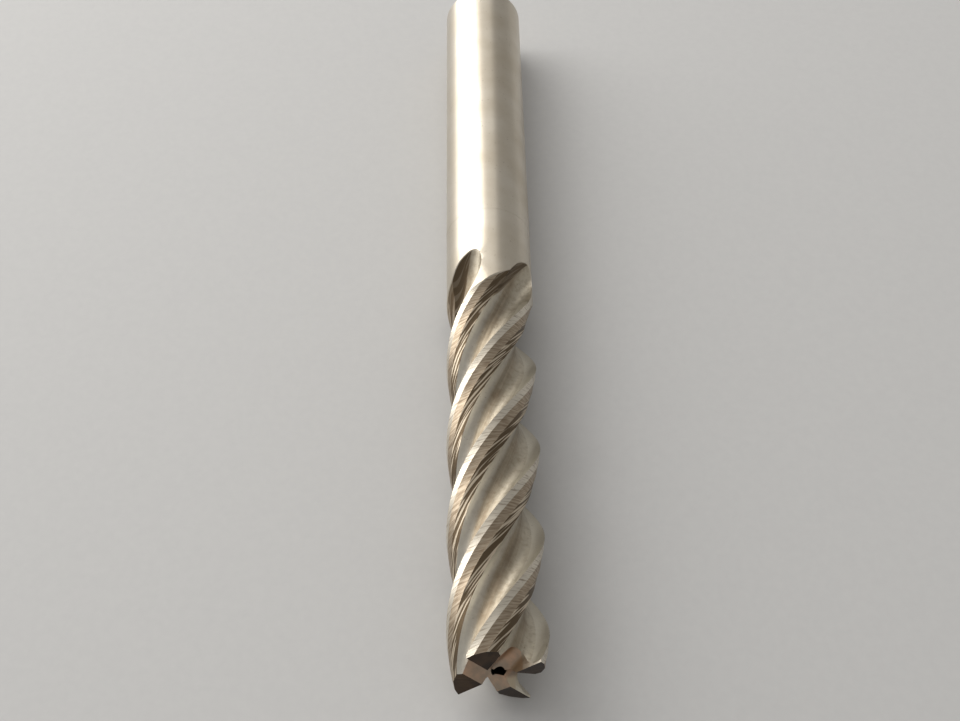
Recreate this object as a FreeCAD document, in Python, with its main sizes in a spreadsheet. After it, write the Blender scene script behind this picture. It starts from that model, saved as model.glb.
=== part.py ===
import FreeCAD, Part
import Sketcher
import math
import os
import sys

# Long-series four-flute end mill with a plain cylindrical shank, in millimetres.
#
# A high-speed-steel cutter blank is friction welded to an alloy-steel shank, and the
# pair is ground as one bar.  The tool lies along Y: the back face of the shank is at
# the origin, the cutting end points along -Y, and +Z is up.
#
# The cutter is modelled in a tool frame of its own, Z from the cutting end towards
# the shank, and its Placement turns that frame into the part's frame.

TEETH = 4
FULL_TURN = 360.0
OUTSIDE = 0.35  # how far the grinding sections reach past the blank, of its radius
PAST_HEEL = 0.2  # how far the relief section goes on behind the heel, of the radius
RELIEF_LIFT = 1.15  # lift of the relief section at the end of its fade, in heel drops
LOFT_STEPS_PER_TURN = 24
LOFT_DEGREE = 5
FADE_STEPS = 8

SIZES = [
    # name, value, note
    ("overall_length", 123.0, "cutting end to back face"),
    ("cutter_diameter", 12.0, "over the cutting edges"),
    ("back_taper", 0.015, "radius lost from the cutting end to the weld"),
    ("shank_diameter", 12.0, "h6 ground shank"),
    ("shank_length", 52.0, "back face to weld"),
    ("shank_chamfer", 0.6, "back edge, 45 degrees"),
    ("flute_length", 55.0, "full-depth flute"),
    ("helix_angle", 35.0, "degrees, right hand"),
    ("first_edge_angle", -40.0, "degrees from +Z towards +X, at the cutting end"),
    ("runout_direction", 10.0, "degrees behind the edge in which the wheel leaves"),
    ("relief_past_flute", 4.0, "land relief goes on this far past full depth"),
    ("relief_fade", 4.5, "length over which the land relief fades out"),
    ("rake_angle", 12.0, "degrees, flute face ahead of each edge"),
    ("core_contact", 60.0, "degrees behind the edge where the floor touches the core"),
    ("primary_width", 10.0, "degrees from edge to the back of the primary land"),
    ("heel_width", 22.3, "degrees from edge to heel"),
    ("backoff_width", 35.5, "degrees from edge to the ridge where the flute begins"),
    ("end_relief", 13.0, "degrees, relief of the end teeth"),
    ("gash_slope", 27.0, "degrees, gash floor falls outwards"),
    ("gash_angle", 45.0, "degrees, far side of the gash to the end plane"),
    ("back_centre_pilot", 2.0, "grinding centre, back face"),
    ("back_centre_mouth", 4.2, "countersink mouth, back face"),
    ("back_centre_depth", 4.5, "pilot depth, back face"),
    ("centre_angle", 60.0, "degrees, included angle of the back centre"),
]

# Shares of the cutter diameter, so that the cutter keeps its form at any diameter.
SHARES = [
    # name, value, note
    ("core_share", 0.558, "web left between the flutes"),
    ("root_share", 0.18, "radius at the foot of the rake face"),
    ("primary_share", 0.016, "radial drop at the back of the primary land"),
    ("heel_share", 0.050, "radial drop at the heel"),
    ("backoff_share", 0.100, "radial drop at the ridge where the flute begins"),
    ("runout_share", 1.0, "length over which the flute fades out"),
    ("runout_radius_share", 0.75, "radius of the path along which the wheel leaves"),
    ("edge_share", 0.021, "end edges lie this far behind the radius"),
    ("gash_corner_share", 0.10, "corner radius of the gash wheel"),
    ("gash_depth_share", 0.0625, "depth of the gash at the axis"),
    ("centre_hole_share", 0.146, "grinding centre in the cutting end"),
    ("centre_depth_share", 0.33, "depth of that centre"),
]

document = FreeCAD.newDocument("end_mill")
sheet = document.addObject("Spreadsheet::Sheet", "dims")
for row, (name, value, note) in enumerate(SIZES + SHARES, start=1):
    sheet.set("A%d" % row, name)
    sheet.set("B%d" % row, str(value))
    sheet.set("C%d" % row, note)
    sheet.setAlias("B%d" % row, name)
document.recompute()


def size(name):
    return float(sheet.get(name))


def share(name):
    """Length that a share of the cutter diameter comes to."""
    return size(name + "_share") * size("cutter_diameter")


def polar(radius, degrees):
    angle = math.radians(degrees)
    return FreeCAD.Vector(radius * math.cos(angle), radius * math.sin(angle), 0.0)


def unit(vector):
    return vector * (1.0 / vector.Length)


# ---------------------------------------------------------------- shank

def lines_loop(sketch, points):
    """Closed loop of lines through the points, joined end to end."""
    first = sketch.GeometryCount
    count = len(points)
    for index in range(count):
        start = points[index]
        end = points[(index + 1) % count]
        sketch.addGeometry(Part.LineSegment(start, end), False)
    for index in range(count):
        following = first + (index + 1) % count
        sketch.addConstraint(Sketcher.Constraint("Coincident", first + index, 2, following, 1))
    return first


def driven(sketch, kind, arguments, value, expression):
    """Add a dimension to the sketch and bind it to the sheet."""
    index = sketch.addConstraint(Sketcher.Constraint(kind, *arguments, value))
    sketch.setExpression("Constraints[%d]" % index, expression)


def origin_plane(body, role):
    for feature in body.Origin.OriginFeatures:
        if feature.Role == role:
            return feature
    raise RuntimeError("no origin feature " + role)


def make_shank():
    """Turned and ground bar: chamfered back edge, 60-degree grinding centre."""
    body = document.addObject("PartDesign::Body", "shank")
    body.Label = "shank"
    radius = size("shank_diameter") / 2
    chamfer = size("shank_chamfer")
    length = size("shank_length")
    sketch = body.newObject("Sketcher::SketchObject", "shank_profile")
    sketch.AttachmentSupport = [(origin_plane(body, "XY_Plane"), "")]
    sketch.MapMode = "FlatFace"
    first = lines_loop(sketch, [
        FreeCAD.Vector(0, 0, 0),
        FreeCAD.Vector(radius - chamfer, 0, 0),
        FreeCAD.Vector(radius, -chamfer, 0),
        FreeCAD.Vector(radius, -length, 0),
        FreeCAD.Vector(0, -length, 0),
    ])
    back, bevel, side, weld, axis = range(first, first + 5)
    sketch.addConstraint(Sketcher.Constraint("Coincident", back, 1, -1, 1))
    sketch.addConstraint(Sketcher.Constraint("Horizontal", back))
    sketch.addConstraint(Sketcher.Constraint("Vertical", side))
    sketch.addConstraint(Sketcher.Constraint("Horizontal", weld))
    sketch.addConstraint(Sketcher.Constraint("Vertical", axis))
    driven(sketch, "DistanceX", (-1, 1, side, 1), radius, "dims.shank_diameter / 2")
    driven(sketch, "DistanceY", (weld, 2, -1, 1), length, "dims.shank_length")
    driven(sketch, "DistanceX", (bevel, 1, bevel, 2), chamfer, "dims.shank_chamfer")
    driven(sketch, "DistanceY", (bevel, 2, bevel, 1), chamfer, "dims.shank_chamfer")
    document.recompute()
    turned = body.newObject("PartDesign::Revolution", "shank_turned")
    turned.Profile = sketch
    turned.ReferenceAxis = (sketch, ["V_Axis"])
    turned.Angle = FULL_TURN
    document.recompute()

    pilot = size("back_centre_pilot") / 2
    mouth = size("back_centre_mouth") / 2
    depth = size("back_centre_depth")
    slope = math.tan(math.radians(size("centre_angle") / 2))
    cone_depth = (mouth - pilot) / slope
    centre = body.newObject("Sketcher::SketchObject", "back_centre_profile")
    centre.AttachmentSupport = [(origin_plane(body, "XY_Plane"), "")]
    centre.MapMode = "FlatFace"
    first = lines_loop(centre, [
        FreeCAD.Vector(0, 0, 0),
        FreeCAD.Vector(mouth, 0, 0),
        FreeCAD.Vector(pilot, -cone_depth, 0),
        FreeCAD.Vector(pilot, -depth, 0),
        FreeCAD.Vector(0, -depth - pilot * slope, 0),
    ])
    top, cone, wall, tip, middle = range(first, first + 5)
    centre.addConstraint(Sketcher.Constraint("Coincident", top, 1, -1, 1))
    centre.addConstraint(Sketcher.Constraint("Horizontal", top))
    centre.addConstraint(Sketcher.Constraint("Vertical", wall))
    centre.addConstraint(Sketcher.Constraint("Vertical", middle))
    driven(centre, "DistanceX", (top, 1, top, 2), mouth, "dims.back_centre_mouth / 2")
    driven(centre, "DistanceX", (-1, 1, wall, 1), pilot, "dims.back_centre_pilot / 2")
    driven(centre, "DistanceY", (cone, 2, cone, 1), cone_depth,
           "(dims.back_centre_mouth - dims.back_centre_pilot) / 2 / tan(dims.centre_angle / 2 * 1 deg)")
    driven(centre, "DistanceY", (wall, 2, -1, 1), depth, "dims.back_centre_depth")
    driven(centre, "DistanceY", (tip, 2, tip, 1), pilot * slope,
           "dims.back_centre_pilot / 2 * tan(dims.centre_angle / 2 * 1 deg)")
    document.recompute()
    bored = body.newObject("PartDesign::Groove", "back_centre")
    bored.Profile = centre
    bored.ReferenceAxis = (centre, ["V_Axis"])
    bored.Angle = FULL_TURN
    document.recompute()
    return body


# ---------------------------------------------------------------- cutter

def helix_lead():
    circumference = math.pi * size("cutter_diameter")
    return circumference / math.tan(math.radians(size("helix_angle")))


def arc_edge(centre, radius, start, end):
    """Arc about the centre from one point direction to another, the short way."""
    first = math.atan2(start.y - centre.y, start.x - centre.x)
    sweep = math.atan2(end.y - centre.y, end.x - centre.x) - first
    sweep = (sweep + math.pi) % (2 * math.pi) - math.pi
    middle = first + sweep / 2
    through = centre + FreeCAD.Vector(radius * math.cos(middle), radius * math.sin(middle), 0)
    return Part.Arc(start, through, end).toShape()


def flute_section():
    """Cross-section of the space between two teeth, edge of the first at 0 degrees.

    From the second tooth's edge: straight rake face, root arc, core circle, a hollow
    floor up to the ridge, then the flat back-off from the ridge to the first heel.
    """
    radius = size("cutter_diameter") / 2
    core = share("core") / 2
    root = share("root")
    rake = math.radians(size("rake_angle"))
    outside = radius * OUTSIDE

    edge = polar(radius, FULL_TURN / TEETH)
    outward = unit(edge)
    trailing = FreeCAD.Vector(-outward.y, outward.x, 0)
    down_face = trailing * math.sin(rake) - outward * math.cos(rake)
    off_face = trailing * -math.cos(rake) - outward * math.sin(rake)
    face_top = edge - down_face * outside

    # The root arc touches the rake face and the core circle.
    start = edge + off_face * root
    along = start.dot(down_face)
    gap = start.dot(start) - (core + root) ** 2
    travel = -along - math.sqrt(along * along - gap)
    root_centre = start + down_face * travel
    root_start = root_centre - off_face * root
    root_end = unit(root_centre) * core

    # The hollow floor touches the core circle and passes through the ridge.
    touch = polar(1.0, size("core_contact"))
    ridge = polar(radius - share("backoff"), size("backoff_width"))
    floor = ridge.dot(ridge) - 2 * core * ridge.dot(touch) + core * core
    floor = floor / (2 * ridge.dot(touch) - 2 * core)
    floor_centre = touch * (core + floor)
    floor_start = touch * core

    heel = polar(radius - share("heel"), size("heel_width"))
    heel_top = heel + unit(heel - ridge) * outside
    beyond = polar(radius * (1 + 2 * OUTSIDE), FULL_TURN / TEETH / 2)

    edges = [
        Part.LineSegment(face_top, root_start).toShape(),
        arc_edge(root_centre, root, root_start, root_end),
        arc_edge(FreeCAD.Vector(), core, root_end, floor_start),
        arc_edge(floor_centre, floor, floor_start, ridge),
        Part.LineSegment(ridge, heel_top).toShape(),
        Part.LineSegment(heel_top, beyond).toShape(),
        Part.LineSegment(beyond, face_top).toShape(),
    ]
    return Part.Wire(edges)


def relief_section():
    """Cross-section of what the land grinding removes outside one tooth."""
    radius = size("cutter_diameter") / 2
    clear = radius * (1 + OUTSIDE)
    edge = polar(radius, 0.0)
    ridge = polar(radius - share("primary"), size("primary_width"))
    heel = polar(radius - share("heel"), size("heel_width"))
    past_heel = heel + unit(heel - ridge) * radius * PAST_HEEL
    points = [edge, ridge, past_heel, unit(past_heel) * clear, polar(clear, 0.0), edge]
    return Part.makePolygon(points)


def moved(section, height, turn, shift, direction):
    """Copy of a section at a height, slid outwards and turned with the helix."""
    copy = section.copy()
    copy.translate(polar(shift, direction))
    copy.rotate(FreeCAD.Vector(), FreeCAD.Vector(0, 0, 1), turn)
    copy.translate(FreeCAD.Vector(0, 0, height))
    return copy


def section_heights(full, end):
    """Heights of the loft's sections: even along the full depth, closer at the end."""
    step = helix_lead() / LOFT_STEPS_PER_TURN
    count = int(full / step) + 2
    heights = [full - step * index for index in range(count, -1, -1)]
    fade = (end - full) / FADE_STEPS
    heights += [full + fade * index for index in range(1, FADE_STEPS + 1)]
    return heights


def helical_tool(name, section, full, end, direction, shift_at):
    """Solid lofted through copies of the section that follow the helix."""
    lead = helix_lead()
    copies = []
    for height in section_heights(full, end):
        shift = shift_at(max(height - full, 0.0))
        turn = FULL_TURN * height / lead
        copies.append(moved(section, height, turn, shift, direction))
    solid = Part.makeLoft(copies, True, False, False, LOFT_DEGREE)
    if solid.Volume < 0:
        solid.reverse()
    tool = document.addObject("Part::Feature", name)
    tool.Shape = solid
    return tool


def make_flute_tool():
    radius = share("runout_radius")
    full = size("flute_length")
    return helical_tool(
        "flute_tool", flute_section(), full, full + share("runout"),
        size("runout_direction"), lambda travel: travel * travel / (2 * radius))


def make_relief_tool():
    end = size("flute_length") + size("relief_past_flute")
    fade = size("relief_fade")
    lift = share("heel") * RELIEF_LIFT
    return helical_tool(
        "relief_tool", relief_section(), end - fade, end,
        size("heel_width"), lambda travel: lift * (travel / fade) ** 2)


def make_gash_tool():
    """What the end gash of the tooth at 0 degrees removes.

    A straight wall stands along the end edge.  The rounded corner of the wheel joins
    it to a far side that climbs towards the back of the tooth in front, and the whole
    groove falls outwards.
    """
    reach = size("cutter_diameter")
    behind_axis = reach / 4
    wall = share("edge")
    corner = share("gash_corner")
    tilt = math.radians(size("gash_angle"))
    fall = math.tan(math.radians(size("gash_slope")))
    depth = share("gash_depth") - behind_axis * fall

    def point(ahead, height):
        return FreeCAD.Vector(-behind_axis, wall - ahead, height)

    def on_corner(angle):
        return point(corner - corner * math.cos(angle), depth - corner + corner * math.sin(angle))

    top = -2 * reach
    far = on_corner(math.pi / 2 + tilt)
    climb = far.z - top
    far_top = far + FreeCAD.Vector(0, -climb / math.tan(tilt), -climb)
    edges = [
        Part.LineSegment(point(0, top), on_corner(0)).toShape(),
        Part.Arc(on_corner(0), on_corner((math.pi / 2 + tilt) / 2), far).toShape(),
        Part.LineSegment(far, far_top).toShape(),
        Part.LineSegment(far_top, point(0, top)).toShape(),
    ]
    length = behind_axis + reach
    along = FreeCAD.Vector(length, 0, length * fall)
    tool = document.addObject("Part::Feature", "gash_tool")
    tool.Shape = Part.Face(Part.Wire(edges)).extrude(along)
    return tool


def make_end_relief_tool():
    """What the end relief removes behind the end edge of the tooth at 0 degrees."""
    reach = size("cutter_diameter")
    wall = share("edge")
    drop = reach * math.tan(math.radians(size("end_relief")))
    profile = [
        FreeCAD.Vector(0, wall, 0),
        FreeCAD.Vector(0, wall + reach, drop),
        FreeCAD.Vector(0, wall + reach, -drop),
        FreeCAD.Vector(0, wall, -drop),
        FreeCAD.Vector(0, wall, 0),
    ]
    flank = Part.Face(Part.makePolygon(profile))
    flank.translate(FreeCAD.Vector(-wall, 0, 0))
    solid = flank.extrude(FreeCAD.Vector(wall + reach, 0, 0))
    tool = document.addObject("Part::Feature", "end_relief_tool")
    tool.Shape = solid
    return tool


def around_axis(tool):
    """The tool at each tooth, as linked copies turned about the cutter axis."""
    copies = []
    for tooth in range(TEETH):
        angle = size("first_edge_angle") - 90.0 + tooth * FULL_TURN / TEETH
        copy = document.addObject("Part::Feature", "%s_%d" % (tool.Name, tooth + 1))
        copy.Shape = tool.Shape
        copy.Placement = FreeCAD.Placement(
            FreeCAD.Vector(), FreeCAD.Rotation(FreeCAD.Vector(0, 0, 1), angle))
        copies.append(copy)
    return copies


def make_cutter():
    """Back-tapered blank less the flutes, land relief, gashes and centre hole."""
    blank = document.addObject("Part::Cone", "cutter_blank")
    blank.setExpression("Radius1", "dims.cutter_diameter / 2")
    blank.setExpression("Radius2", "dims.cutter_diameter / 2 - dims.back_taper")
    blank.setExpression("Height", "dims.overall_length - dims.shank_length")

    hole = document.addObject("Part::Cylinder", "centre_hole")
    hole.setExpression("Radius", "dims.centre_hole_share * dims.cutter_diameter / 2")
    hole.setExpression("Height", "dims.centre_depth_share * dims.cutter_diameter")

    tools = [hole]
    ground = (make_flute_tool(), make_relief_tool(), make_end_relief_tool(), make_gash_tool())
    for tool in ground:
        tools += around_axis(tool)
    document.recompute()

    shape = blank
    for index, tool in enumerate(tools, start=1):
        cut = document.addObject("Part::Cut", "cutter_cut_%d" % index)
        cut.Base = shape
        cut.Tool = tool
        document.recompute()
        shape = cut
    shape.Label = "fluted_cutter"
    shape.Placement = FreeCAD.Placement(
        FreeCAD.Vector(0, -size("overall_length"), 0),
        FreeCAD.Rotation(FreeCAD.Vector(1, 0, 0), -90.0))
    return shape


shank = make_shank()
cutter = make_cutter()
document.recompute()

for item in document.Objects:
    if "Invalid" in item.State or "Error" in item.State:
        sys.exit("%s is %s" % (item.Label, item.State))

os.makedirs("parts", exist_ok=True)
for node in (cutter, shank):
    shape = node.Shape
    if shape.isNull() or not shape.isValid():
        sys.exit("%s has no valid shape" % node.Label)
    shape.exportStep(os.path.join("parts", node.Label + ".step"))
    print("%s: %.1f mm3, %d solids" % (node.Label, shape.Volume, len(shape.Solids)))
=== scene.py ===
import math

import bpy
from mathutils import Matrix, Vector


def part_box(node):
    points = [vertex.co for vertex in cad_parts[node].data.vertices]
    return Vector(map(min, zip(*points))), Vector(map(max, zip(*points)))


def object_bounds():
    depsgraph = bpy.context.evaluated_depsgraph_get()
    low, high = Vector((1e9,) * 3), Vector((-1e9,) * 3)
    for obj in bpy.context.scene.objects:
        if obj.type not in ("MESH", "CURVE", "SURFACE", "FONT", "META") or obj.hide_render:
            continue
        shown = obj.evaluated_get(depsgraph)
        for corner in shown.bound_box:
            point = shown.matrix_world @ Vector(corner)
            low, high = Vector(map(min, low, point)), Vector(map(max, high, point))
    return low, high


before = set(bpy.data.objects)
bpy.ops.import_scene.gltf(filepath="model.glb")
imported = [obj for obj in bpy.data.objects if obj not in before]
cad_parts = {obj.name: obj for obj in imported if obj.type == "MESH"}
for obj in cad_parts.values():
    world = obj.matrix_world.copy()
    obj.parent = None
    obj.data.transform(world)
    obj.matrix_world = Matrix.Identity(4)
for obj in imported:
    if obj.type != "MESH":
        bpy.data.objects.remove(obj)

# Straight-shank end mill lying on a pale floor: two ground steel pieces welded end to
# end, the shank and the fluted cutter.  The cutting end points along -Y and +Z is up.
# Lengths are in metres and angles in radians unless a name says otherwise.

cad_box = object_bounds()

MM = 0.001
CUTTER_LOW, CUTTER_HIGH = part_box("fluted_cutter")
CUTTER_RADIUS = CUTTER_HIGH.z
TIP_Y = CUTTER_LOW.y
WELD_Y = CUTTER_HIGH.y

# The cutter's own geometry, as the part's design has it.  Angles run back from an edge.
TEETH = 4
HELIX = math.radians(35.0)
FIRST_EDGE = math.radians(-40.0)
PRIMARY_LAND = math.radians(10.0)
LAND = math.radians(22.3)
BACKOFF = math.radians(35.5)
PRIMARY_DROP = 0.192 * MM
HEEL_DROP = 0.60 * MM
CORE_RADIUS = 3.35 * MM
FULL_FLUTE = 55 * MM
RUNOUT_TURN = math.radians(10.0)
RUNOUT_RADIUS = 9 * MM
HOLE_RADIUS = 0.876 * MM

PITCH = 2 * math.pi / TEETH
TURN_PER_METRE = math.tan(HELIX) / CUTTER_RADIUS

# Where one finish gives way to the next.
LAND_TOLERANCE = 0.07 * MM
ROUND_FULL = 0.10 * MM
ROUND_GONE = 0.14 * MM
UNDERCUT = math.radians(8.0)
HOLLOW_END = math.radians(50.0)
RAKE_START = math.radians(64.0)
RUNOUT_LENGTH = 8.3 * MM
RUNOUT_RIDGE = math.radians(80.0)
RUNOUT_BEND = 1.4
SHARP_RIDGE = 0.001
SOFT_RIDGE = 0.05
END_DEPTH = 4.5 * MM
GASH_FACING = 0.61
END_FACING = 0.93
INSIDE_CORE = CORE_RADIUS - 0.05 * MM
INSIDE_HOLE = HOLE_RADIUS + 0.04 * MM

# Grinding marks: heights, rings along the axis, lengths and widths, and turns away
# from the helix.
RING_HEIGHT = 3.0e-6
MARK_HEIGHT = 3.0e-6
RINGS_PER_METRE = 9000.0
WAVES_PER_METRE = 500.0
FINE_STREAK = (1.6 * MM, 0.10 * MM)
BROAD_STREAK = (14 * MM, 0.55 * MM)
FEED_MARK = (5 * MM, 0.21 * MM)
FEED_TURN = math.radians(9.0)
LAND_MARK = (2.0 * MM, 0.20 * MM)
LAND_TURN = math.radians(42.0)

# Colours, surface by surface.
PALE_STEEL = (0.62, 0.57, 0.485, 1.0)
WARM_STEEL = (0.52, 0.46, 0.365, 1.0)
PIT_BROWN = (0.20, 0.15, 0.10, 1.0)
FLUTE_GREY = (0.29, 0.25, 0.19, 1.0)
FLUTE_PALE = (0.43, 0.375, 0.285, 1.0)
FLUTE_BROWN = (0.20, 0.145, 0.09, 1.0)
# Painted light: the hollow floor's pale grey, where it faces the key light.
HOLLOW_LIGHT_GREY = (0.72, 0.70, 0.64, 1.0)
# Painted highlight: the rake face's pale near the cutting edge.
RAKE_HIGHLIGHT_PALE = (0.66, 0.61, 0.50, 1.0)
# Painted shade: the back-off facet's dark brown. The pale is its feed marks.
BACKOFF_SHADE_BROWN = (0.13, 0.095, 0.06, 1.0)
BACKOFF_PALE = (0.58, 0.50, 0.39, 1.0)
# Painted light on the primary land and painted shade on the secondary land. The brown is
# the relief-grinding marks.
LAND_LIT_PALE = (0.66, 0.61, 0.52, 1.0)
LAND_SHADE_TAN = (0.45, 0.375, 0.285, 1.0)
LAND_BROWN = (0.25, 0.19, 0.13, 1.0)
GASH_BROWN = (0.57, 0.38, 0.265, 1.0)
GASH_GREY = (0.34, 0.275, 0.215, 1.0)
# Painted light: the paler tan of the gash walls.
GASH_WALL_LIGHT_TAN = (0.54, 0.46, 0.34, 1.0)
# Painted shade: the end reliefs' dark brown over their own brown, and the near black of the
# reliefs and the centre hole.
END_SHADE_BROWN = (0.085, 0.058, 0.040, 1.0)
END_SHADE_DARK = (0.045, 0.036, 0.030, 1.0)
FLOOR_GREY = (0.60, 0.60, 0.60, 1.0)
FLOOR_PALE = (0.64, 0.64, 0.635, 1.0)


# ------------------------------------------------------------------ node helpers

class Nodes:
    """Short names for making and joining a material's nodes."""

    def __init__(self, name):
        self.material = bpy.data.materials.new(name)
        self.material.use_nodes = True
        self.tree = self.material.node_tree
        self.tree.nodes.clear()

    def make(self, kind, **settings):
        node = self.tree.nodes.new(kind)
        for key, value in settings.items():
            setattr(node, key, value)
        return node

    def feed(self, socket, value):
        """Join an output to the socket, or set the socket's own value."""
        if isinstance(value, bpy.types.NodeSocket):
            self.tree.links.new(value, socket)
        else:
            socket.default_value = value

    def math(self, operation, *values):
        node = self.make("ShaderNodeMath", operation=operation)
        for socket, value in zip(node.inputs, values):
            self.feed(socket, value)
        return node.outputs[0]

    def times(self, first, second):
        return self.math("MULTIPLY", first, second)

    def add_times(self, first, second, base):
        return self.math("MULTIPLY_ADD", first, second, base)

    def over(self, value, limit):
        return self.math("GREATER_THAN", value, limit)

    def under(self, value, limit):
        return self.math("LESS_THAN", value, limit)

    def greater(self, first, second):
        return self.math("MAXIMUM", first, second)

    def vector(self, x, y, z):
        node = self.make("ShaderNodeCombineXYZ")
        for socket, value in zip(node.inputs, (x, y, z)):
            self.feed(socket, value)
        return node.outputs[0]

    def noise(self, place, scale=1.0, detail=2.0, roughness=0.5):
        node = self.make("ShaderNodeTexNoise")
        self.feed(node.inputs["Vector"], place)
        node.inputs["Scale"].default_value = scale
        node.inputs["Detail"].default_value = detail
        node.inputs["Roughness"].default_value = roughness
        return node.outputs["Fac"]

    def span(self, value, low, high, to_low=0.0, to_high=1.0):
        """The value carried from one range to another, and held inside it."""
        node = self.make("ShaderNodeMapRange", clamp=True)
        for socket, item in zip(node.inputs, (value, low, high, to_low, to_high)):
            self.feed(socket, item)
        return node.outputs[0]

    def mix(self, share, first, second):
        """Blend of two colours."""
        node = self.make("ShaderNodeMix", data_type="RGBA")
        self.feed(node.inputs["Factor"], share)
        self.feed(node.inputs[6], first)
        self.feed(node.inputs[7], second)
        return node.outputs[2]

    def blend(self, share, first, second):
        """Blend of two numbers."""
        node = self.make("ShaderNodeMix", data_type="FLOAT")
        self.feed(node.inputs["Factor"], share)
        self.feed(node.inputs[2], first)
        self.feed(node.inputs[3], second)
        return node.outputs[0]

    def metal(self, colour, roughness, height, distance):
        """Bare metal with a bump map, as the finished material."""
        bump = self.make("ShaderNodeBump")
        bump.inputs["Strength"].default_value = 1.0
        bump.inputs["Distance"].default_value = distance
        self.feed(bump.inputs["Height"], height)
        shader = self.make("ShaderNodeBsdfPrincipled")
        shader.inputs["Metallic"].default_value = 1.0
        self.feed(shader.inputs["Base Color"], colour)
        self.feed(shader.inputs["Roughness"], roughness)
        self.feed(shader.inputs["Normal"], bump.outputs["Normal"])
        output = self.make("ShaderNodeOutputMaterial")
        self.tree.links.new(shader.outputs[0], output.inputs["Surface"])
        return self.material


# ------------------------------------------------------------------ steels
#
# A finish is a colour, a roughness and a height.

def round_coordinates(nodes):
    """Place, distance from the cutting end, angle from +Z towards +X, and radius."""
    place = nodes.make("ShaderNodeTexCoord").outputs["Object"]
    split = nodes.make("ShaderNodeSeparateXYZ")
    nodes.feed(split.inputs[0], place)
    x, y, z = split.outputs
    depth = nodes.math("SUBTRACT", y, TIP_Y)
    angle = nodes.math("ARCTAN2", x, z)
    radius = nodes.math("SQRT", nodes.add_times(z, z, nodes.times(x, x)))
    return place, depth, angle, radius


def cylinder_finish(nodes, place, depth):
    """Cylindrical grinding: fine rings, slow waves and faint handling marks."""
    rings = nodes.vector(nodes.times(depth, RINGS_PER_METRE), 0.0, 0.0)
    rings = nodes.noise(rings, detail=3.0)
    waves = nodes.vector(nodes.times(depth, WAVES_PER_METRE), 0.0, 0.0)
    waves = nodes.noise(waves)
    clouds = nodes.noise(place, scale=160.0, detail=3.0)
    specks = nodes.noise(place, scale=2600.0, detail=1.0)
    tone = nodes.mix(nodes.span(clouds, 0.35, 0.75), PALE_STEEL, WARM_STEEL)
    tone = nodes.mix(nodes.span(specks, 0.70, 0.80, 0.0, 0.4), tone, PIT_BROWN)
    rough = nodes.span(nodes.blend(0.5, rings, clouds), 0.3, 0.7, 0.27, 0.37)
    height = nodes.blend(0.3, rings, waves)
    return tone, rough, height


def shank_steel():
    nodes = Nodes("shank_steel")
    place, depth = round_coordinates(nodes)[:2]
    tone, rough, height = cylinder_finish(nodes, place, depth)
    return nodes.metal(tone, rough, height, RING_HEIGHT)


class CutterPoint:
    """Where a point of the cutter lies, as sockets of its material's nodes."""

    def __init__(self, nodes):
        self.place, self.depth, angle, self.radius = round_coordinates(nodes)
        self.find_tooth(nodes, angle)
        self.find_flute_phase(nodes)
        self.find_surface_lengths(nodes)
        facing = nodes.make("ShaderNodeSeparateXYZ")
        nodes.feed(facing.inputs[0], nodes.make("ShaderNodeTexCoord").outputs["Normal"])
        self.forward = nodes.times(facing.outputs[1], -1.0)

    def find_tooth(self, nodes, angle):
        """Phase runs from each cutting edge back to the next."""
        turned = nodes.add_times(self.depth, -TURN_PER_METRE, angle)
        turned = nodes.math("SUBTRACT", turned, FIRST_EDGE)
        self.phase = nodes.math("FLOORED_MODULO", turned, PITCH)
        count = nodes.math("FLOOR", nodes.math("DIVIDE", turned, PITCH))
        self.tooth = nodes.math("FLOORED_MODULO", count, float(TEETH))

    def find_flute_phase(self, nodes):
        """Phase in the flute's own section, which slides outwards as it runs out."""
        travel = nodes.greater(nodes.math("SUBTRACT", self.depth, FULL_FLUTE), 0.0)
        shift = nodes.times(nodes.times(travel, travel), 0.5 / RUNOUT_RADIUS)
        ahead = nodes.times(self.radius, nodes.math("COSINE", self.phase))
        ahead = nodes.add_times(shift, -math.cos(RUNOUT_TURN), ahead)
        aside = nodes.times(self.radius, nodes.math("SINE", self.phase))
        aside = nodes.add_times(shift, -math.sin(RUNOUT_TURN), aside)
        self.flute_phase = nodes.math("ARCTAN2", aside, ahead)

    def find_surface_lengths(self, nodes):
        """Lengths on the cutter's surface, square to the helix and with it."""
        self.across = nodes.times(self.phase, CUTTER_RADIUS * math.cos(HELIX))
        along = nodes.times(self.depth, 1 / math.cos(HELIX))
        self.along = nodes.add_times(self.phase, CUTTER_RADIUS * math.sin(HELIX), along)


def streaks(nodes, point, third, size, turn=0.0, detail=2.0):
    """Noise drawn out into marks of a length and width, turned from the helix."""
    length, width = size
    ahead = nodes.times(point.along, math.cos(turn))
    ahead = nodes.add_times(point.across, math.sin(turn), ahead)
    aside = nodes.times(point.across, math.cos(turn))
    aside = nodes.add_times(point.along, -math.sin(turn), aside)
    place = nodes.vector(nodes.times(ahead, 1 / length),
                         nodes.times(aside, 1 / width),
                         nodes.times(third, 1 / width))
    return nodes.noise(place, detail=detail)


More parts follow.
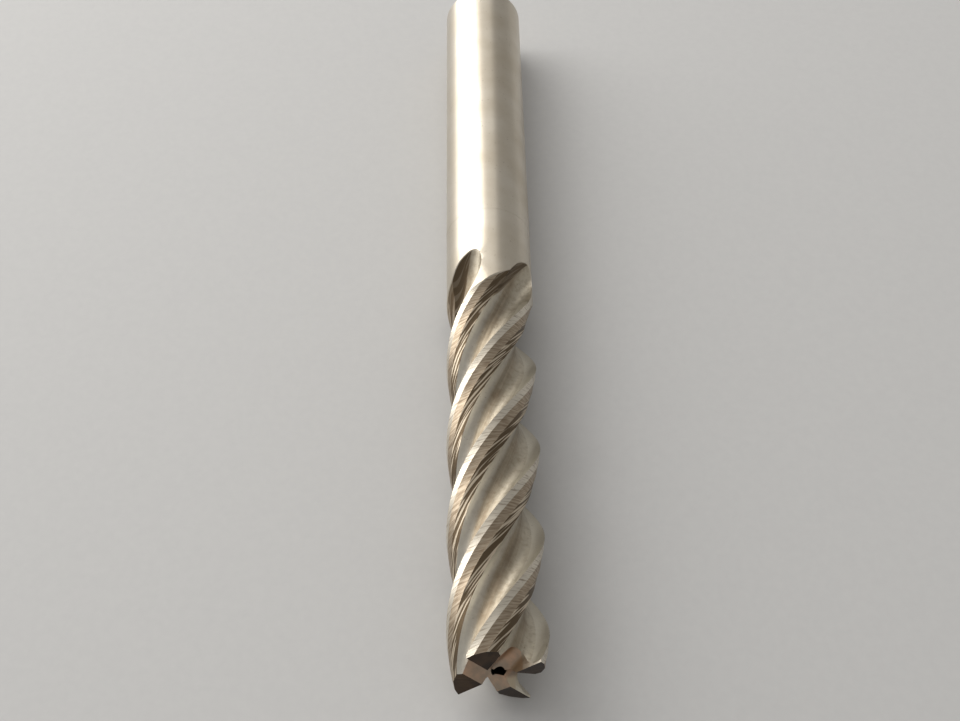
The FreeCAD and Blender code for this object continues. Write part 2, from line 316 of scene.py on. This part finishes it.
def flute_finish(nodes, point, clouds):
    """Lengthwise streaks of two sizes, a hollow painted pale grey as painted light, a tan
    trough and a rake painted pale as a painted highlight.
    """
    mottle = nodes.noise(point.place, scale=1500.0, detail=3.0, roughness=0.6)
    fine = streaks(nodes, point, point.radius, FINE_STREAK, detail=3.0)
    broad = streaks(nodes, point, point.radius, BROAD_STREAK, detail=3.0)
    # Painted light: past the back-off, the hollow floor is painted pale grey where it faces
    # the key light.
    hollow = nodes.span(point.flute_phase, BACKOFF, HOLLOW_END, 0.8, 0.0)
    # Painted highlight: the rake face is painted pale towards the cutting edge, and also
    # where it runs in under the edge.
    rake = nodes.greater(nodes.span(point.flute_phase, RAKE_START, PITCH),
                         nodes.under(point.phase, UNDERCUT))
    stain = nodes.times(nodes.span(mottle, 0.45, 0.75, 0.0, 0.40),
                        nodes.math("SUBTRACT", 1.0, hollow))

    tone = nodes.mix(nodes.span(broad, 0.3, 0.7), FLUTE_GREY, FLUTE_PALE)
    tone = nodes.mix(nodes.span(clouds, 0.42, 0.70, 0.0, 0.6), tone, FLUTE_BROWN)
    tone = nodes.mix(nodes.span(fine, 0.35, 0.65, 0.30, 0.0), tone, FLUTE_BROWN)
    tone = nodes.mix(hollow, tone, HOLLOW_LIGHT_GREY)
    tone = nodes.mix(nodes.times(rake, 0.75), tone, RAKE_HIGHLIGHT_PALE)
    tone = nodes.mix(stain, tone, FLUTE_BROWN)
    rough = nodes.span(fine, 0.3, 0.7, 0.38, 0.52)
    height = nodes.add_times(broad, 2.0, fine)
    height = nodes.add_times(mottle, 2.5, height)
    return tone, rough, height


def backoff_share(nodes, point):
    """The facet from the heel to the ridge, where painted shade lies; it widens as the
    flute runs out, painting the shaded run-out facet that the smooth geometry lacks.
    """
    runout = nodes.span(point.depth, FULL_FLUTE, FULL_FLUTE + RUNOUT_LENGTH)
    ridge = nodes.add_times(nodes.math("POWER", runout, RUNOUT_BEND),
                            RUNOUT_RIDGE - BACKOFF, BACKOFF)
    past_ridge = nodes.math("SUBTRACT", point.flute_phase, ridge)
    blur = nodes.span(runout, 0.0, 0.5, SHARP_RIDGE, SOFT_RIDGE)
    return nodes.times(nodes.over(point.phase, LAND),
                       nodes.span(past_ridge, 0.0, blur, 1.0, 0.0))


def backoff_finish(nodes, point):
    """Painted shade in dark brown on the steel, with long slanting pale feed marks, which
    fade past full depth.
    """
    feed = streaks(nodes, point, point.tooth, FEED_MARK, turn=FEED_TURN, detail=0.0)
    fade = nodes.span(point.depth, FULL_FLUTE - 1 * MM, FULL_FLUTE + 2 * MM, 1.0, 0.2)
    marks = nodes.times(nodes.span(feed, 0.51, 0.60), fade)
    return nodes.mix(marks, BACKOFF_SHADE_BROWN, BACKOFF_PALE), None, nodes.times(marks, 4.0)


def land_share(nodes, point):
    """Whether a point lies on the primary or the secondary land."""
    primary = nodes.times(point.phase, PRIMARY_DROP / PRIMARY_LAND)
    slope = (HEEL_DROP - PRIMARY_DROP) / (LAND - PRIMARY_LAND)
    start = PRIMARY_DROP - slope * PRIMARY_LAND
    secondary = nodes.add_times(point.phase, slope, start)
    drop = nodes.math("SUBTRACT", CUTTER_RADIUS, point.radius)
    beneath = nodes.math("SUBTRACT", drop, nodes.greater(primary, secondary))
    return nodes.times(nodes.under(beneath, LAND_TOLERANCE), nodes.under(point.phase, LAND))


def land_finish(nodes, point):
    """Short marks nearly square to the axis, left by the relief grinding, on a primary land
    painted pale as lit and a secondary land painted tan as shade.
    """
    marks = streaks(nodes, point, point.tooth, LAND_MARK, turn=LAND_TURN)
    primary = nodes.mix(nodes.span(marks, 0.50, 0.70, 0.0, 0.7), LAND_LIT_PALE, LAND_BROWN)
    secondary = nodes.mix(nodes.span(marks, 0.38, 0.64, 0.0, 0.9), LAND_SHADE_TAN, LAND_BROWN)
    # Painted light and shade: the primary land is painted pale as lit, and the secondary
    # land tan as shaded.
    tone = nodes.mix(nodes.over(point.phase, PRIMARY_LAND), primary, secondary)
    return tone, nodes.span(marks, 0.3, 0.7, 0.34, 0.46), nodes.times(marks, -3.0)


def round_share(nodes, point):
    """The cylinder that is left between and behind the flute run-outs."""
    drop = nodes.math("SUBTRACT", CUTTER_RADIUS, point.radius)
    return nodes.times(nodes.span(drop, ROUND_FULL, ROUND_GONE, 1.0, 0.0),
                       nodes.span(point.depth, FULL_FLUTE, FULL_FLUTE + 1 * MM))


def round_finish(nodes, point):
    """The shank's own grinding, with its height in the cutter's unit."""
    tone, rough, height = cylinder_finish(nodes, point.place, point.depth)
    return tone, rough, nodes.times(height, RING_HEIGHT / MARK_HEIGHT)


def lay(nodes, share, base, top):
    """A finish with a share of another over it.  None leaves the base as it is."""
    joins = (nodes.mix, nodes.blend, nodes.blend)
    return [below if above is None else join(share, below, above)
            for join, below, above in zip(joins, base, top)]


def end_faces(nodes, point, clouds, base):
    """Gashes in brown with painted light on their side walls, end reliefs painted dark as
    shade over their own brown, and the centre hole painted dark as shade.
    """
    near_end = nodes.under(point.depth, END_DEPTH)
    is_gash = nodes.greater(nodes.over(point.forward, GASH_FACING),
                            nodes.under(point.radius, INSIDE_CORE))
    is_gash = nodes.times(is_gash, near_end)
    is_relief = nodes.times(nodes.over(point.forward, END_FACING), near_end)
    is_hole = nodes.under(point.radius, INSIDE_HOLE)
    patches = nodes.span(clouds, 0.35, 0.65)
    gash_floor = nodes.mix(patches, GASH_BROWN, GASH_GREY)
    # Painted light: gash walls that face sideways are painted paler tan than the
    # forward-facing gash floor.
    gash = nodes.mix(nodes.span(point.forward, 0.1, 0.6), GASH_WALL_LIGHT_TAN, gash_floor)
    # Painted shade: the forward-facing end reliefs are painted near black.
    relief = nodes.mix(patches, END_SHADE_BROWN, END_SHADE_DARK)
    finish = lay(nodes, is_gash, base, (gash, 0.40, None))
    finish = lay(nodes, is_relief, finish, (relief, None, None))
    # Painted shade: the centre hole is painted dark.
    return lay(nodes, is_hole, finish, (END_SHADE_DARK, None, None))


def cutter_steel():
    nodes = Nodes("cutter_steel")
    point = CutterPoint(nodes)
    clouds = nodes.noise(point.place, scale=420.0, detail=4.0, roughness=0.6)
    specks = nodes.noise(point.place, scale=3200.0, detail=1.0)
    pits = nodes.span(specks, 0.70, 0.78, 0.0, 0.45)

    finish = flute_finish(nodes, point, clouds)
    finish = lay(nodes, backoff_share(nodes, point), finish, backoff_finish(nodes, point))
    finish = lay(nodes, land_share(nodes, point), finish, land_finish(nodes, point))
    finish = lay(nodes, pits, finish, (PIT_BROWN, None, None))
    finish = lay(nodes, round_share(nodes, point), finish, round_finish(nodes, point))
    finish = end_faces(nodes, point, clouds, finish)
    return nodes.metal(*finish, MARK_HEIGHT)


def paint(node, material):
    """The CAD node stays as it is and takes the material."""
    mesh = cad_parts[node].data
    mesh.materials.clear()
    mesh.materials.append(material)
    for polygon in mesh.polygons:
        polygon.material_index = 0


paint("shank", shank_steel())
paint("fluted_cutter", cutter_steel())


# ------------------------------------------------------------------ floor

FLOOR_HALF = 1.5


def floor_material():
    nodes = Nodes("pale_floor")
    place = nodes.make("ShaderNodeTexCoord").outputs["Object"]
    grain = nodes.noise(place, scale=900.0, detail=3.0)
    shader = nodes.make("ShaderNodeBsdfPrincipled")
    nodes.feed(shader.inputs["Base Color"], nodes.mix(grain, FLOOR_GREY, FLOOR_PALE))
    shader.inputs["Roughness"].default_value = 0.7
    output = nodes.make("ShaderNodeOutputMaterial")
    nodes.feed(output.inputs["Surface"], shader.outputs[0])
    return nodes.material


def make_floor():
    """A flat floor under the tool, level with its lowest edge."""
    low = cad_box[0].z
    corners = [(-FLOOR_HALF, -FLOOR_HALF, low), (FLOOR_HALF, -FLOOR_HALF, low),
               (FLOOR_HALF, FLOOR_HALF, low), (-FLOOR_HALF, FLOOR_HALF, low)]
    mesh = bpy.data.meshes.new("floor")
    mesh.from_pydata(corners, [], [(0, 1, 2, 3)])
    mesh.materials.append(floor_material())
    floor = bpy.data.objects.new("floor", mesh)
    bpy.context.scene.collection.objects.link(floor)


# ------------------------------------------------------------------ light and camera

KEY_PLACE = (-0.52, 0.38, 0.34)
KEY_SIZE = (0.90, 0.78)
KEY_WATTS = 6.8
KEY_TINT = (1.0, 0.98, 0.95)
CEILING_PLACE = (0.0, 0.45, 0.65)
CEILING_SIZE = (0.50, 0.80)
CEILING_WATTS = 0.8
CEILING_TINT = (1.0, 0.97, 0.93)
WORLD_TINT = (1.0, 0.98, 0.95, 1.0)
WORLD_STRENGTH = 0.38
CAMERA_AIM = Vector((-1.5 * MM, -75.3 * MM, 0.0))
CAMERA_DISTANCE = 200.7 * MM
CAMERA_ELEVATION = math.radians(49.27)
CAMERA_ROLL = math.radians(-1.04)


def aimed(position, target, roll=0.0):
    """Matrix for a camera or light at a position, looking at the target."""
    direction = (Vector(target) - Vector(position)).normalized()
    turn = direction.to_track_quat("-Z", "Y").to_matrix().to_4x4()
    return Matrix.Translation(position) @ turn @ Matrix.Rotation(roll, 4, "Z")


def add_softbox(name, position, size, watts, tint):
    """Rectangular light aimed at the middle of the cutter."""
    light = bpy.data.lights.new(name, "AREA")
    light.shape = "RECTANGLE"
    light.size, light.size_y = size
    light.energy = watts
    light.color = tint
    lamp = bpy.data.objects.new(name, light)
    lamp.matrix_world = aimed(position, (0.0, (TIP_Y + WELD_Y) / 2, 0.0))
    bpy.context.scene.collection.objects.link(lamp)


def add_world():
    world = bpy.data.worlds.new("studio")
    world.use_nodes = True
    background = world.node_tree.nodes["Background"]
    background.inputs[0].default_value = WORLD_TINT
    background.inputs[1].default_value = WORLD_STRENGTH
    bpy.context.scene.world = world


def add_camera():
    back = Vector((0.0, -math.cos(CAMERA_ELEVATION), math.sin(CAMERA_ELEVATION)))
    camera = bpy.data.cameras.new("camera")
    camera.lens = 56.0
    camera.sensor_width = 36.0
    camera.clip_start = 0.01
    holder = bpy.data.objects.new("camera", camera)
    position = CAMERA_AIM + back * CAMERA_DISTANCE
    holder.matrix_world = aimed(position, CAMERA_AIM, CAMERA_ROLL)
    bpy.context.scene.collection.objects.link(holder)
    bpy.context.scene.camera = holder


make_floor()
add_softbox("key_window", KEY_PLACE, KEY_SIZE, KEY_WATTS, KEY_TINT)
add_softbox("ceiling", CEILING_PLACE, CEILING_SIZE, CEILING_WATTS, CEILING_TINT)
add_world()
add_camera()

view = bpy.context.scene.view_settings
view.view_transform = "Standard"
